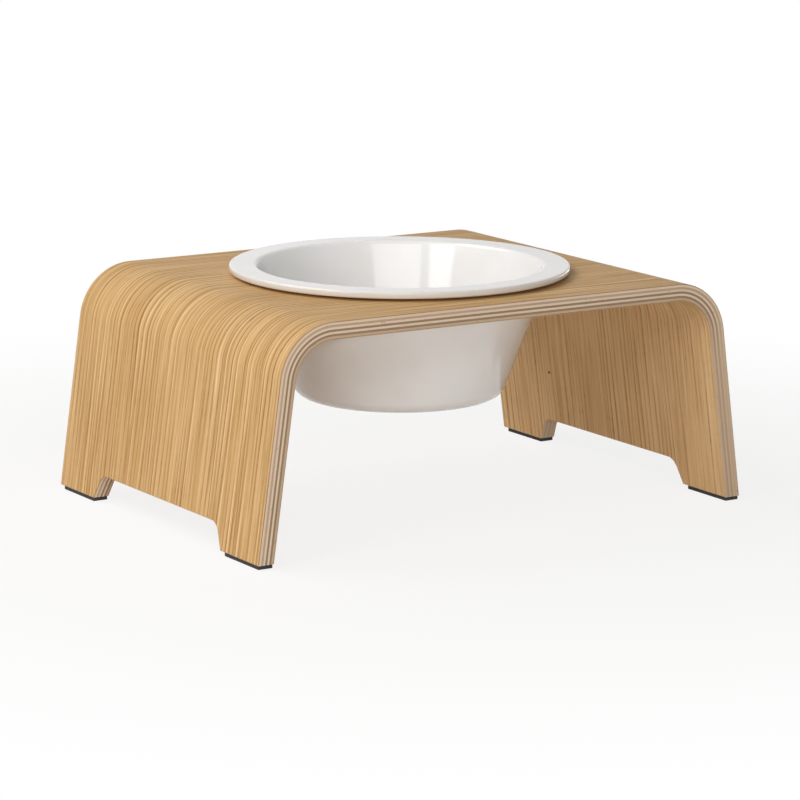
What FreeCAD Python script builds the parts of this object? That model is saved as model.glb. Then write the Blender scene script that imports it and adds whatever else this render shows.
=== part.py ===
import FreeCAD, Part
import math
import os

import Sketcher

# Elevated dog feeder, in millimetres: a stand of moulded plywood bent into an upside-down U, a ceramic bowl
# that hangs by its rim in a round hole, and four stuck-on foot pads.
# X runs from leg to leg, Y from front to back, and Z is up from the surface that the pads stand on.

# Driving sizes: alias, value, and what it measures.
STAND_SIZES = [
    ("wood_height", 144.0, "from the cut ends of the feet to the stand's top face"),
    ("top_flat_length", 256.0, "flat of the top between the two bends"),
    ("bend_radius", 37.5, "outer face of each bend"),
    ("leg_splay_angle", 8.0, "lean of the legs, in degrees"),
    ("stand_depth", 257.0, "front edge to back edge"),
    ("face_veneer_thickness", 0.6, "one oak face veneer"),
    ("core_ply_thickness", 1.4, "one core ply"),
    ("feet_gap", 165.0, "between the front and back foot of one leg, at the cut ends"),
    ("notch_height", 16.0, "cut between the two feet of a leg"),
    ("notch_side_angle", 27.5, "lean of the notch's sides, in degrees"),
    ("notch_corner_radius", 10.0, "upper corners of the notch"),
    ("hole_clearance", 1.0, "between the bowl's neck and the hole, all round"),
    ("hole_edge_chamfer", 1.0, "eased upper edge of the hole"),
]
BOWL_SIZES = [
    ("rim_diameter", 220.0, "across the bowl's rim"),
    ("rim_edge_thickness", 4.2, "rim at its outer edge"),
    ("rim_edge_radius", 1.5, "rounding of the rim's outer edge"),
    ("rim_draft_angle", 8.0, "slope of the rim's underside, in degrees"),
    ("neck_diameter", 193.0, "where the wall meets the rim's underside"),
    ("neck_fillet_radius", 3.0, "between the wall and the rim's underside"),
    ("base_diameter", 133.0, "where the wall would meet the base if its corner were sharp"),
    ("base_corner_radius", 11.0, "outer corner between the wall and the base"),
    ("bowl_height", 86.2, "from the base to the top of the rim"),
    ("wall_thickness", 6.2, "bowl's wall"),
    ("floor_thickness", 6.2, "bowl's floor"),
    ("lip_radius", 3.5, "rounding from the rim's top into the bowl"),
    ("inner_corner_radius", 16.0, "inner corner between the wall and the floor"),
    ("base_recess_diameter", 92.0, "shallow recess inside the base's standing ring"),
    ("base_recess_depth", 1.0, "depth of that recess"),
    ("seat_clearance", 0.3, "between the rim's underside and the hole's edge"),
]
PAD_SIZES = [
    ("pad_thickness", 2.3, "one foot pad"),
    ("adhesive_thickness", 0.2, "adhesive film above each pad"),
    ("pad_side_inset", 0.5, "from the leg's faces to the pad"),
    ("pad_front_inset", 0.6, "from a foot's front end to the pad"),
    ("pad_back_inset", 4.4, "from a foot's back end to the pad"),
]
CUT_SIZES = [
    ("cut_overrun", 5.0, "how far every cut runs past the wood"),
]
CORE_PLY_COUNT = 7

# Formulas that several pieces share, written in the aliases of the sheet.
WOOD_BOTTOM = "(Sizes.pad_thickness + Sizes.adhesive_thickness)"
WOOD_TOP = f"({WOOD_BOTTOM} + Sizes.wood_height)"
BEND_CENTRE = f"({WOOD_TOP} - Sizes.bend_radius)"
SHEET_THICKNESS = f"(2 * Sizes.face_veneer_thickness + {CORE_PLY_COUNT} * Sizes.core_ply_thickness)"
NECK_RADIUS = "(Sizes.neck_diameter / 2)"
HOLE_RADIUS = f"({NECK_RADIUS} + Sizes.hole_clearance)"
RIM_RADIUS = "(Sizes.rim_diameter / 2)"
RIM_UNDERSIDE = "(Sizes.bowl_height - Sizes.rim_edge_thickness)"
RIM_SLOPE = "tan(Sizes.rim_draft_angle)"
NECK_HEIGHT = f"({RIM_UNDERSIDE} - ({RIM_RADIUS} - {NECK_RADIUS}) * {RIM_SLOPE})"
SEAT_DROP = f"((Sizes.hole_clearance + Sizes.hole_edge_chamfer) * {RIM_SLOPE})"
BOWL_BASE = f"({WOOD_TOP} + Sizes.seat_clearance - {SEAT_DROP} - {NECK_HEIGHT})"
FOOT_OUTER = (
    f"(Sizes.top_flat_length / 2 + Sizes.bend_radius / cos(Sizes.leg_splay_angle)"
    f" + ({BEND_CENTRE} - {WOOD_BOTTOM}) * tan(Sizes.leg_splay_angle))"
)
FOOT_WIDTH = f"({SHEET_THICKNESS} / cos(Sizes.leg_splay_angle))"
FOOT_LENGTH = "((Sizes.stand_depth - Sizes.feet_gap) / 2)"

# A sketch numbers the points of an edge in this order, and its own axes downwards from -1 in the other.
EDGE_POINTS = ("whole edge", "start", "end", "centre")
START = EDGE_POINTS.index("start")
END = EDGE_POINTS.index("end")
CENTRE = EDGE_POINTS.index("centre")
SKETCH_AXES = ("horizontal", "vertical")
HORIZONTAL_AXIS = ~SKETCH_AXES.index("horizontal")
VERTICAL_AXIS = ~SKETCH_AXES.index("vertical")
ORIGIN_POINT = (HORIZONTAL_AXIS, START)

doc = FreeCAD.newDocument("ElevatedDogFeeder")
sheet = doc.addObject("Spreadsheet::Sheet", "Sizes")
for row, (alias, size, meaning) in enumerate(STAND_SIZES + BOWL_SIZES + PAD_SIZES + CUT_SIZES, start=1):
    sheet.set(f"A{row}", meaning)
    sheet.set(f"B{row}", str(size))
    sheet.setAlias(f"B{row}", alias)
doc.recompute()
pieces = []


def value(formula):
    """Number that a formula gives with the sheet's present sizes."""
    return float(sheet.evalExpression(formula))


def point(x, y):
    """Point of a sketch."""
    return FreeCAD.Vector(x, y, 0)


def new_body(name):
    """Empty body that becomes one piece."""
    body = doc.addObject("PartDesign::Body", name)
    body.Label = name
    pieces.append(body)
    return body


def new_sketch(body, name, plane_role):
    """Sketch on one of the body's own origin planes."""
    sketch = body.newObject("Sketcher::SketchObject", name)
    plane = next(item for item in body.Origin.OriginFeatures if item.Role == plane_role)
    sketch.AttachmentSupport = [(plane, "")]
    sketch.MapMode = "FlatFace"
    return sketch


def fix(sketch, kind, *where):
    """Geometric constraint with no size."""
    sketch.addConstraint(Sketcher.Constraint(kind, *where))


def dimension(sketch, name, formula, kind, *where):
    """Dimension bound to a formula of the sheet's sizes."""
    size = value(formula)
    seed = math.radians(size) if kind == "Angle" else size
    index = sketch.addConstraint(Sketcher.Constraint(kind, *where, seed))
    sketch.renameConstraint(index, name)
    sketch.setExpression(f"Constraints.{name}", formula)


def line(sketch, start, end):
    """Straight edge of a sketch."""
    return sketch.addGeometry(Part.LineSegment(point(*start), point(*end)))


def arc(sketch, centre, radius, first, last):
    """Round edge of a sketch, anticlockwise between two angles in radians."""
    circle = Part.Circle(point(*centre), FreeCAD.Vector(0, 0, 1), radius)
    return sketch.addGeometry(Part.ArcOfCircle(circle, first, last))


def closed_lines(sketch, corners):
    """Closed polygon of straight edges."""
    edges = [line(sketch, corners[i], corners[(i + 1) % len(corners)]) for i in range(len(corners))]
    for i, edge in enumerate(edges):
        fix(sketch, "Coincident", edge, END, edges[(i + 1) % len(edges)], START)
    return edges


def arch_outline(body, name, depth, bottom):
    """Closed outline of the bent sheet at a depth below its outer face, down to a bottom level."""
    sketch = new_sketch(body, name, "XZ_Plane")
    radius_formula = f"Sizes.bend_radius - {depth}"
    half = value("Sizes.top_flat_length / 2")
    radius = value(radius_formula)
    centre_z = value(BEND_CENTRE)
    low = value(bottom)
    splay = math.radians(value("Sizes.leg_splay_angle"))
    upright = math.pi / 2
    bend_x = half + radius * math.cos(splay)
    bend_z = centre_z + radius * math.sin(splay)
    foot_x = bend_x + (bend_z - low) * math.tan(splay)
    top = line(sketch, (-half, centre_z + radius), (half, centre_z + radius))
    right_bend = arc(sketch, (half, centre_z), radius, splay, upright)
    right_leg = line(sketch, (bend_x, bend_z), (foot_x, low))
    base = line(sketch, (foot_x, low), (-foot_x, low))
    left_leg = line(sketch, (-foot_x, low), (-bend_x, bend_z))
    left_bend = arc(sketch, (-half, centre_z), radius, upright, math.pi - splay)
    fix(sketch, "Tangent", top, END, right_bend, END)
    fix(sketch, "Tangent", right_bend, START, right_leg, START)
    fix(sketch, "Coincident", right_leg, END, base, START)
    fix(sketch, "Coincident", base, END, left_leg, START)
    fix(sketch, "Tangent", left_leg, END, left_bend, END)
    fix(sketch, "Tangent", left_bend, START, top, START)
    fix(sketch, "Equal", right_bend, left_bend)
    fix(sketch, "Symmetric", right_bend, CENTRE, left_bend, CENTRE, VERTICAL_AXIS)
    fix(sketch, "Symmetric", base, START, base, END, VERTICAL_AXIS)
    dimension(sketch, "bend", radius_formula, "Radius", right_bend)
    dimension(sketch, "flat", "Sizes.top_flat_length", "DistanceX", left_bend, CENTRE, right_bend, CENTRE)
    dimension(sketch, "bend_level", BEND_CENTRE, "DistanceY", *ORIGIN_POINT, right_bend, CENTRE)
    dimension(sketch, "bend_span", "90 - Sizes.leg_splay_angle", "Angle", right_bend)
    dimension(sketch, "bottom", bottom, "DistanceY", *ORIGIN_POINT, base, START)
    return sketch


def hole_profile(body):
    """Half section of the bowl's hole with its eased upper edge, turned about Z."""
    sketch = new_sketch(body, "HoleProfile", "XZ_Plane")
    low_formula = f"{WOOD_TOP} - {SHEET_THICKNESS} - Sizes.cut_overrun"
    high_formula = f"{WOOD_TOP} + Sizes.cut_overrun"
    radius = value(HOLE_RADIUS)
    chamfer = value("Sizes.hole_edge_chamfer")
    top = value(WOOD_TOP)
    low = value(low_formula)
    high = value(high_formula)
    corners = [(0, low), (radius, low), (radius, top - chamfer), (radius + chamfer, top),
               (radius + chamfer, high), (0, high)]
    floor, wall, ease, mouth, lid, axis = closed_lines(sketch, corners)
    for edge in (floor, lid):
        fix(sketch, "Horizontal", edge)
    for edge in (wall, mouth, axis):
        fix(sketch, "Vertical", edge)
    fix(sketch, "PointOnObject", axis, START, VERTICAL_AXIS)
    dimension(sketch, "radius", HOLE_RADIUS, "DistanceX", *ORIGIN_POINT, wall, START)
    dimension(sketch, "ease_across", "Sizes.hole_edge_chamfer", "DistanceX", ease, START, ease, END)
    dimension(sketch, "ease_down", "Sizes.hole_edge_chamfer", "DistanceY", ease, START, ease, END)
    dimension(sketch, "top", WOOD_TOP, "DistanceY", *ORIGIN_POINT, ease, END)
    dimension(sketch, "low", low_formula, "DistanceY", *ORIGIN_POINT, floor, START)
    dimension(sketch, "high", high_formula, "DistanceY", *ORIGIN_POINT, lid, START)
    return sketch


def notch_outline(body):
    """Outline of the cut between the front and back feet, the same on both legs."""
    sketch = new_sketch(body, "NotchOutline", "YZ_Plane")
    top_formula = f"{WOOD_BOTTOM} + Sizes.notch_height"
    low_formula = f"{WOOD_BOTTOM} - Sizes.cut_overrun"
    half = value("Sizes.feet_gap / 2")
    foot = value(WOOD_BOTTOM)
    top = value(top_formula)
    low = value(low_formula)
    lean = math.radians(value("Sizes.notch_side_angle"))
    radius = value("Sizes.notch_corner_radius")
    corner_y = half - (top - foot) * math.tan(lean)
    tangent = radius * math.tan((math.pi / 2 - lean) / 2)
    side_y = corner_y + tangent * math.sin(lean)
    side_z = top - tangent * math.cos(lean)
    centre_y = corner_y - tangent
    centre_z = top - radius
    roof = line(sketch, (-centre_y, top), (centre_y, top))
    right_corner = arc(sketch, (centre_y, centre_z), radius, lean, math.pi / 2)
    right_side = line(sketch, (side_y, side_z), (half, foot))
    right_drop = line(sketch, (half, foot), (half, low))
    base = line(sketch, (half, low), (-half, low))
    left_drop = line(sketch, (-half, low), (-half, foot))
    left_side = line(sketch, (-half, foot), (-side_y, side_z))
    left_corner = arc(sketch, (-centre_y, centre_z), radius, math.pi / 2, math.pi - lean)
    fix(sketch, "Tangent", roof, END, right_corner, END)
    fix(sketch, "Tangent", right_corner, START, right_side, START)
    fix(sketch, "Coincident", right_side, END, right_drop, START)
    fix(sketch, "Coincident", right_drop, END, base, START)
    fix(sketch, "Coincident", base, END, left_drop, START)
    fix(sketch, "Coincident", left_drop, END, left_side, START)
    fix(sketch, "Tangent", left_side, END, left_corner, END)
    fix(sketch, "Tangent", left_corner, START, roof, START)
    fix(sketch, "Horizontal", base)
    fix(sketch, "Vertical", right_drop)
    fix(sketch, "Vertical", left_drop)
    fix(sketch, "Equal", right_corner, left_corner)
    fix(sketch, "Symmetric", right_side, END, left_side, START, VERTICAL_AXIS)
    fix(sketch, "Symmetric", right_corner, CENTRE, left_corner, CENTRE, VERTICAL_AXIS)
    dimension(sketch, "corner", "Sizes.notch_corner_radius", "Radius", right_corner)
    dimension(sketch, "corner_span", "90 - Sizes.notch_side_angle", "Angle", right_corner)
    dimension(sketch, "gap", "Sizes.feet_gap", "DistanceX", left_side, START, right_side, END)
    dimension(sketch, "foot", WOOD_BOTTOM, "DistanceY", *ORIGIN_POINT, right_side, END)
    dimension(sketch, "roof_level", top_formula, "DistanceY", *ORIGIN_POINT, roof, START)
    dimension(sketch, "low", low_formula, "DistanceY", *ORIGIN_POINT, base, START)
    return sketch


def cut(body, feature, label):
    """Recomputes a cut and makes sure that it took wood away."""
    before = feature.BaseFeature.Shape.Volume
    doc.recompute()
    if not feature.Shape.Volume < before:
        raise RuntimeError(f"{label} cut nothing from {body.Label}")


def ply(name, outer_depth, inner_depth):
    """One layer of the stand: a bent sheet between two depths, with the bowl's hole and the foot notches."""
    body = new_body(name)
    outer = arch_outline(body, "OuterOutline", outer_depth, WOOD_BOTTOM)
    inner = arch_outline(body, "InnerOutline", inner_depth, f"{WOOD_BOTTOM} - Sizes.cut_overrun")
    arch = body.newObject("PartDesign::Pad", "Arch")
    arch.Profile = outer
    arch.SideType = "Symmetric"
    arch.setExpression("Length", "Sizes.stand_depth")
    doc.recompute()
    inside = body.newObject("PartDesign::Pocket", "Inside")
    inside.Profile = inner
    inside.SideType = "Symmetric"
    inside.setExpression("Length", "Sizes.stand_depth + Sizes.cut_overrun")
    cut(body, inside, "the inside")
    hole = body.newObject("PartDesign::Groove", "BowlHole")
    hole.Profile = hole_profile(body)
    hole.ReferenceAxis = (hole.Profile[0], ["V_Axis"])
    cut(body, hole, "the bowl's hole")
    notch = body.newObject("PartDesign::Pocket", "FootNotch")
    notch.Profile = notch_outline(body)
    notch.SideType = "Symmetric"
    notch.setExpression("Length", f"2 * ({FOOT_OUTER} + Sizes.cut_overrun)")
    cut(body, notch, "the foot notch")


def stand():
    """All layers of the stand, from the outer oak veneer to the inner one."""
    face = "Sizes.face_veneer_thickness"
    depths = [f"({face} + {n} * Sizes.core_ply_thickness)" for n in range(CORE_PLY_COUNT + 1)]
    ply("outer_face_veneer", "0", depths[0])
    for n in range(CORE_PLY_COUNT):
        ply(f"core_ply_{n + 1}", depths[n], depths[n + 1])
    ply("inner_face_veneer", depths[-1], SHEET_THICKNESS)


def unit(start, end):
    """Direction from one corner to another."""
    length = math.dist(start, end)
    return ((end[0] - start[0]) / length, (end[1] - start[1]) / length)


def rounding(before, corner, after, radius):
    """Tangent points and centre of an arc that rounds a corner."""
    back = unit(corner, before)
    ahead = unit(corner, after)
    opening = math.acos(back[0] * ahead[0] + back[1] * ahead[1])
    reach = radius / math.tan(opening / 2)
    middle = unit((0, 0), (back[0] + ahead[0], back[1] + ahead[1]))
    away = radius / math.sin(opening / 2)
    first = (corner[0] + reach * back[0], corner[1] + reach * back[1])
    last = (corner[0] + reach * ahead[0], corner[1] + reach * ahead[1])
    return first, last, (corner[0] + away * middle[0], corner[1] + away * middle[1])


def rounded_loop(sketch, outline):
    """Closed outline of straight edges, with an arc at each corner that comes with a radius."""
    corners = [corner for corner, radius_name in outline]
    radii = {i: radius_name for i, (corner, radius_name) in enumerate(outline) if radius_name}
    count = len(corners)
    starts = list(corners)
    ends = [corners[(i + 1) % count] for i in range(count)]
    arcs = {}
    for i, name in radii.items():
        radius = value(name)
        first, last, centre = rounding(corners[i - 1], corners[i], corners[(i + 1) % count], radius)
        ends[i - 1] = first
        starts[i] = last
        angles = [math.atan2(end[1] - centre[1], end[0] - centre[0]) for end in (first, last)]
        turn = (angles[1] - angles[0]) % (2 * math.pi)
        forward = turn < math.pi
        low, high = angles if forward else reversed(angles)
        arcs[i] = (arc(sketch, centre, radius, low, high), forward)
    edges = [line(sketch, starts[i], ends[i]) for i in range(count)]
    for i in range(count):
        if i in arcs:
            index, forward = arcs[i]
            fix(sketch, "Tangent", edges[i - 1], END, index, START if forward else END)
            fix(sketch, "Tangent", index, END if forward else START, edges[i], START)
            dimension(sketch, f"round_{i}", radii[i], "Radius", index)
        else:
            fix(sketch, "Coincident", edges[i - 1], END, edges[i], START)
    return edges


def bowl():
    """Ceramic bowl, turned about Z, with its rim over the edge of the hole."""
    body = new_body("bowl")
    body.setExpression("Placement.Base.z", BOWL_BASE)
    sketch = new_sketch(body, "BowlProfile", "XZ_Plane")
    recess_radius = value("Sizes.base_recess_diameter / 2")
    recess = value("Sizes.base_recess_depth")
    base_radius = value("Sizes.base_diameter / 2")
    neck = (value(NECK_RADIUS), value(NECK_HEIGHT))
    rim_radius = value(RIM_RADIUS)
    height = value("Sizes.bowl_height")
    floor = value("Sizes.floor_thickness")
    taper = (neck[0] - base_radius) / neck[1]
    wall_across = value("Sizes.wall_thickness") * math.hypot(1, taper)
    mouth_radius = base_radius + taper * height - wall_across
    floor_radius = base_radius + taper * floor - wall_across
    outline = [
        ((0, recess), None),
        ((recess_radius, recess), None),
        ((recess_radius, 0), None),
        ((base_radius, 0), "Sizes.base_corner_radius"),
        (neck, "Sizes.neck_fillet_radius"),
        ((rim_radius, value(RIM_UNDERSIDE)), "Sizes.rim_edge_radius"),
        ((rim_radius, height), "Sizes.rim_edge_radius"),
        ((mouth_radius, height), "Sizes.lip_radius"),
        ((floor_radius, floor), "Sizes.inner_corner_radius"),
        ((0, floor), None),
    ]
    edges = rounded_loop(sketch, outline)
    recess_roof, recess_side, ring, wall, underside, rim_edge, rim_top, inner_wall, inner_floor, axis = edges
    for edge in (recess_roof, ring, rim_top, inner_floor):
        fix(sketch, "Horizontal", edge)
    for edge in (recess_side, rim_edge, axis):
        fix(sketch, "Vertical", edge)
    fix(sketch, "PointOnObject", axis, START, VERTICAL_AXIS)
    fix(sketch, "Parallel", wall, inner_wall)
    base_point = sketch.addGeometry(Part.Point(point(base_radius, 0)), True)
    neck_point = sketch.addGeometry(Part.Point(point(*neck)), True)
    rim_point = sketch.addGeometry(Part.Point(point(rim_radius, value(RIM_UNDERSIDE))), True)
    for mark, edge in ((base_point, wall), (base_point, ring), (neck_point, wall), (neck_point, underside),
                       (rim_point, underside), (rim_point, rim_edge)):
        fix(sketch, "PointOnObject", mark, START, edge)
    dimension(sketch, "recess_radius", "Sizes.base_recess_diameter / 2", "DistanceX", *ORIGIN_POINT,
              recess_side, START)
    dimension(sketch, "recess_depth", "Sizes.base_recess_depth", "DistanceY", *ORIGIN_POINT, recess_side, START)
    fix(sketch, "PointOnObject", ring, START, HORIZONTAL_AXIS)
    dimension(sketch, "base_radius", "Sizes.base_diameter / 2", "DistanceX", *ORIGIN_POINT, base_point, START)
    dimension(sketch, "neck_radius", NECK_RADIUS, "DistanceX", *ORIGIN_POINT, neck_point, START)
    dimension(sketch, "neck_height", NECK_HEIGHT, "DistanceY", *ORIGIN_POINT, neck_point, START)
    dimension(sketch, "rim_radius", RIM_RADIUS, "DistanceX", *ORIGIN_POINT, rim_point, START)
    dimension(sketch, "rim_underside", RIM_UNDERSIDE, "DistanceY", *ORIGIN_POINT, rim_point, START)
    dimension(sketch, "height", "Sizes.bowl_height", "DistanceY", *ORIGIN_POINT, rim_top, START)
    dimension(sketch, "floor_level", "Sizes.floor_thickness", "DistanceY", *ORIGIN_POINT, inner_floor, END)
    dimension(sketch, "wall_across", "Sizes.wall_thickness", "Distance", inner_wall, START, wall)
    shell = body.newObject("PartDesign::Revolution", "Shell")
    shell.Profile = sketch
    shell.ReferenceAxis = (sketch, ["V_Axis"])


def foot_layer(name, bottom, thickness, along_x, along_y):
    """Flat piece under one foot, set in from the foot's outline."""
    layer = doc.addObject("Part::Box", name)
    layer.Label = name
    inner_edge = f"{FOOT_OUTER} - {FOOT_WIDTH} + Sizes.pad_side_inset"
    outer_edge = f"{FOOT_OUTER} - Sizes.pad_side_inset"
    foot_front = "Sizes.feet_gap / 2" if along_y > 0 else "-Sizes.stand_depth / 2"
    layer.setExpression("Length", f"{FOOT_WIDTH} - 2 * Sizes.pad_side_inset")
    layer.setExpression("Width", f"{FOOT_LENGTH} - Sizes.pad_front_inset - Sizes.pad_back_inset")
    layer.setExpression("Height", thickness)
    layer.setExpression("Placement.Base.x", inner_edge if along_x > 0 else f"-({outer_edge})")
    layer.setExpression("Placement.Base.y", f"{foot_front} + Sizes.pad_front_inset")
    layer.setExpression("Placement.Base.z", bottom)
    pieces.append(layer)


def feet():
    """A pad and its adhesive film under each of the four feet."""
    for depth_word, along_y in (("front", -1), ("back", 1)):
        for side_word, along_x in (("left", -1), ("right", 1)):
            place = f"{depth_word}_{side_word}"
            foot_layer(f"foot_pad_{place}", "0", "Sizes.pad_thickness", along_x, along_y)
            foot_layer(f"foot_adhesive_{place}", "Sizes.pad_thickness", "Sizes.adhesive_thickness", along_x, along_y)


def write_parts():
    """Checks every object and every piece, then writes one file for each piece."""
    doc.recompute()
    for item in doc.Objects:
        if "Invalid" in item.State or "Error" in item.State:
            raise RuntimeError(f"{item.Label} failed: {item.State}")
        if item.TypeId == "Sketcher::SketchObject" and not item.FullyConstrained:
            raise RuntimeError(f"{item.Label} isn't fully constrained")
    for piece in pieces:
        if piece.Shape.isNull() or not piece.Shape.isValid() or len(piece.Shape.Solids) != 1:
            raise RuntimeError(f"{piece.Label} isn't one sound solid")
    os.makedirs("parts", exist_ok=True)
    for piece in pieces:
        piece.Shape.exportStep(f"parts/{piece.Label}.step")
        box = piece.Shape.optimalBoundingBox()
        print(f"{piece.Label}: volume {piece.Shape.Volume:.1f}, box {box.XLength:.2f} x {box.YLength:.2f} x"
              f" {box.ZLength:.2f}, from z {box.ZMin:.2f} to {box.ZMax:.2f}")


stand()
bowl()
feet()
write_parts()
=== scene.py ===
import logging
from dataclasses import dataclass, field
from enum import Enum
from math import cos, hypot, pi, radians, sin, tan, tau
from typing import Any, Sequence, Union

import bmesh
import bpy
from bpy.types import Material, Mesh, Node, NodeSocket, Object
from mathutils import Matrix, Vector
from mathutils.geometry import delaunay_2d_cdt


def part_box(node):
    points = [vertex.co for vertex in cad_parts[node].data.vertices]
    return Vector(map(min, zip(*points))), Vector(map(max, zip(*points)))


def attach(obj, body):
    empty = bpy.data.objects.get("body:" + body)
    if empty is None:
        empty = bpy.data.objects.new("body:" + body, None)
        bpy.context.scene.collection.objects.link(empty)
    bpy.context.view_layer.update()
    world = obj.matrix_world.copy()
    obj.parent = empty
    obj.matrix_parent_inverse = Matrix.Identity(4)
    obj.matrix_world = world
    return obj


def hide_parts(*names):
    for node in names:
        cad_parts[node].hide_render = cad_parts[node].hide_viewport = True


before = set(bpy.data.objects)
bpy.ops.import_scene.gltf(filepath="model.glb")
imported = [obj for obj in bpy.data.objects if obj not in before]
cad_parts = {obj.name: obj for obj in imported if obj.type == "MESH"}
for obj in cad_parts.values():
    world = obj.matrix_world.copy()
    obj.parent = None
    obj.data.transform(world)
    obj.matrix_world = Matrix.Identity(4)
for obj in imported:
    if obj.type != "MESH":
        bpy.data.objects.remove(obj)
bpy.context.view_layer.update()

# Elevated dog feeder, in metres: a stand of moulded plywood with oak faces, a glazed bowl in its round hole,
# and a pad under each foot. X runs from leg to leg, Y from front to back, and Z is up.

MM = 0.001
QUARTER_TURN = pi / 2
IMAGE_PIXELS = 800
log = logging.getLogger("elevated_dog_feeder")

Colour = tuple[float, float, float, float]
Span = tuple[float, float]
Source = Union["Value", NodeSocket, str, float, Sequence[float]]
Path = list[tuple[float, float]]
Loop = list[Vector]
WHITE: Colour = (1.0, 1.0, 1.0, 1.0)

# What a pressed blank carries: the place of each point in the flat blank, and a mark on the cut edges.
BLANK_PLACE = "blank_place"
CUT_EDGE = "cut_edge"

# Settings of the nodes that store or sample a vector at each point.
POINT_VECTORS = {"data_type": "FLOAT_VECTOR", "domain": "POINT"}

# Kind of fill that covers all that the edges enclose, and the distance within which points are one point.
FILL_ENCLOSED = 5
FILL_WELD = 1e-9


def srgb(*levels: int) -> Colour:
    """Turns a screen colour into the linear colour that shaders take.

    Args:
        levels: Red, green and blue, 0 to 255.

    Returns:
        Linear red, green and blue, and an alpha of 1.
    """
    shares = [level / 255 for level in levels]
    # The numbers are those of the sRGB curve.
    linear = [share / 12.92 if share <= 0.04045 else ((share + 0.055) / 1.055) ** 2.4 for share in shares]
    return *linear, 1.0


@dataclass(frozen=True)
class Value:
    """Number socket of a node tree; Python's operators on it add Math nodes."""

    graph: "NodeGraph"
    socket: NodeSocket

    def math(self, operation: str, *others: Source, first: bool = True) -> "Value":
        """Adds one Math node.

        Args:
            operation: Blender's name of the operation.
            others: The other operands.
            first: Whether this value is the first operand.

        Returns:
            The node's result.
        """
        operands = [self, *others] if first else [*others, self]
        node = self.graph.node("ShaderNodeMath", {"operation": operation}, dict(enumerate(operands)))
        return Value(self.graph, node.outputs[0])

    def __add__(self, other: Source) -> "Value":
        """Sum."""
        return self.math("ADD", other)

    __radd__ = __add__

    def __sub__(self, other: Source) -> "Value":
        """Difference."""
        return self.math("SUBTRACT", other)

    def __rsub__(self, other: Source) -> "Value":
        """Difference, taken from a number."""
        return self.math("SUBTRACT", other, first=False)

    def __mul__(self, other: Source) -> "Value":
        """Product."""
        return self.math("MULTIPLY", other)

    __rmul__ = __mul__

    def __truediv__(self, other: Source) -> "Value":
        """Quotient."""
        return self.math("DIVIDE", other)

    def rise_and_fall(self, rise: Span, fall: Span) -> "Value":
        """Soft mask that rises from 0 to 1 over one span and falls back over another."""
        return self.smooth_step(*rise) * (1 - self.smooth_step(*fall))

    def smooth_step(self, low: float, high: float) -> "Value":
        """Soft mask that rises from 0 at the low value to 1 at the high one."""
        node = self.graph.node("ShaderNodeMapRange", {"interpolation_type": "SMOOTHSTEP"},
                               {"Value": self, "From Min": low, "From Max": high})
        return Value(self.graph, node.outputs["Result"])


@dataclass(frozen=True)
class NodeGraph:
    """Node tree under construction, for a shader or for geometry."""

    tree: bpy.types.NodeTree

    # The Mix node names its number, vector and colour sockets alike, so these are the numbers for colours.
    mix_factor = 0
    mix_first = 6
    mix_second = 7
    mix_result = 2

    @classmethod
    def emptied(cls, owner: Material | bpy.types.World) -> "NodeGraph":
        """Clears the node tree of a material or a world.

        Args:
            owner: The material or the world.

        Returns:
            Its empty tree.
        """
        owner.use_nodes = True
        owner.node_tree.nodes.clear()
        return cls(owner.node_tree)

    def node(self, kind: str, settings: dict[str, Any] | None = None,
             inputs: dict[str | int, Source] | None = None) -> Node:
        """Adds one node.

        Args:
            kind: Blender's type name.
            settings: Properties to set first.
            inputs: Values or links for the sockets, by name or number.

        Returns:
            The node.
        """
        made = self.tree.nodes.new(kind)
        for name, setting in (settings or {}).items():
            setattr(made, name, setting)
        for key, source in (inputs or {}).items():
            self.feed(made.inputs[key], source)
        return made

    def feed(self, socket: NodeSocket, source: Source) -> None:
        """Links a socket, or sets its value.

        Args:
            socket: Input socket.
            source: What it gets.
        """
        if isinstance(source, Value):
            source = source.socket
        if isinstance(source, NodeSocket):
            self.tree.links.new(source, socket)
        else:
            socket.default_value = source

    def parts(self, vector: NodeSocket) -> tuple[Value, Value, Value]:
        """Splits a vector into its three numbers."""
        outputs = self.node("ShaderNodeSeparateXYZ", inputs={0: vector}).outputs
        return Value(self, outputs[0]), Value(self, outputs[1]), Value(self, outputs[2])

    def vector(self, x: Source, y: Source, z: Source) -> NodeSocket:
        """Joins three numbers into a vector."""
        return self.node("ShaderNodeCombineXYZ", inputs={0: x, 1: y, 2: z}).outputs[0]

    def attribute(self, name: str) -> NodeSocket:
        """Vector that the mesh carries under a name."""
        return self.node("ShaderNodeAttribute", {"attribute_name": name}).outputs["Vector"]

    def object_place(self) -> NodeSocket:
        """Place in the object's own metres."""
        return self.node("ShaderNodeTexCoord").outputs["Object"]

    def layered(self, ground: Source, layers: Sequence[tuple[Value, Colour]]) -> Source:
        """Lays colours over a ground, one after the other.

        Args:
            ground: The lowest colour.
            layers: Mask and colour of each layer, from the ground up.

        Returns:
            The colour on top.
        """
        for mask, colour in layers:
            inputs = {self.mix_factor: mask, self.mix_first: ground, self.mix_second: colour}
            ground = self.node("ShaderNodeMix", {"data_type": "RGBA"}, inputs).outputs[self.mix_result]
        return ground


@dataclass(frozen=True)
class Pattern:
    """Soft noise, with some number of waves per metre in each direction, and the mask that is cut from it."""

    scale: tuple[float, float, float]
    low: float = 0.3
    high: float = 0.7
    share: float = 1.0
    detail: float = 2.0
    roughness: float = 0.5
    shift: float = 0.0

    def cut(self, noise: Value) -> Value:
        """Mask that runs from 0 to the share while the noise goes from low to high."""
        return noise.smooth_step(self.low, self.high) * self.share


def even(waves: float, **settings: float) -> Pattern:
    """Pattern with as many waves per metre in every direction."""
    return Pattern((waves, waves, waves), **settings)


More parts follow.
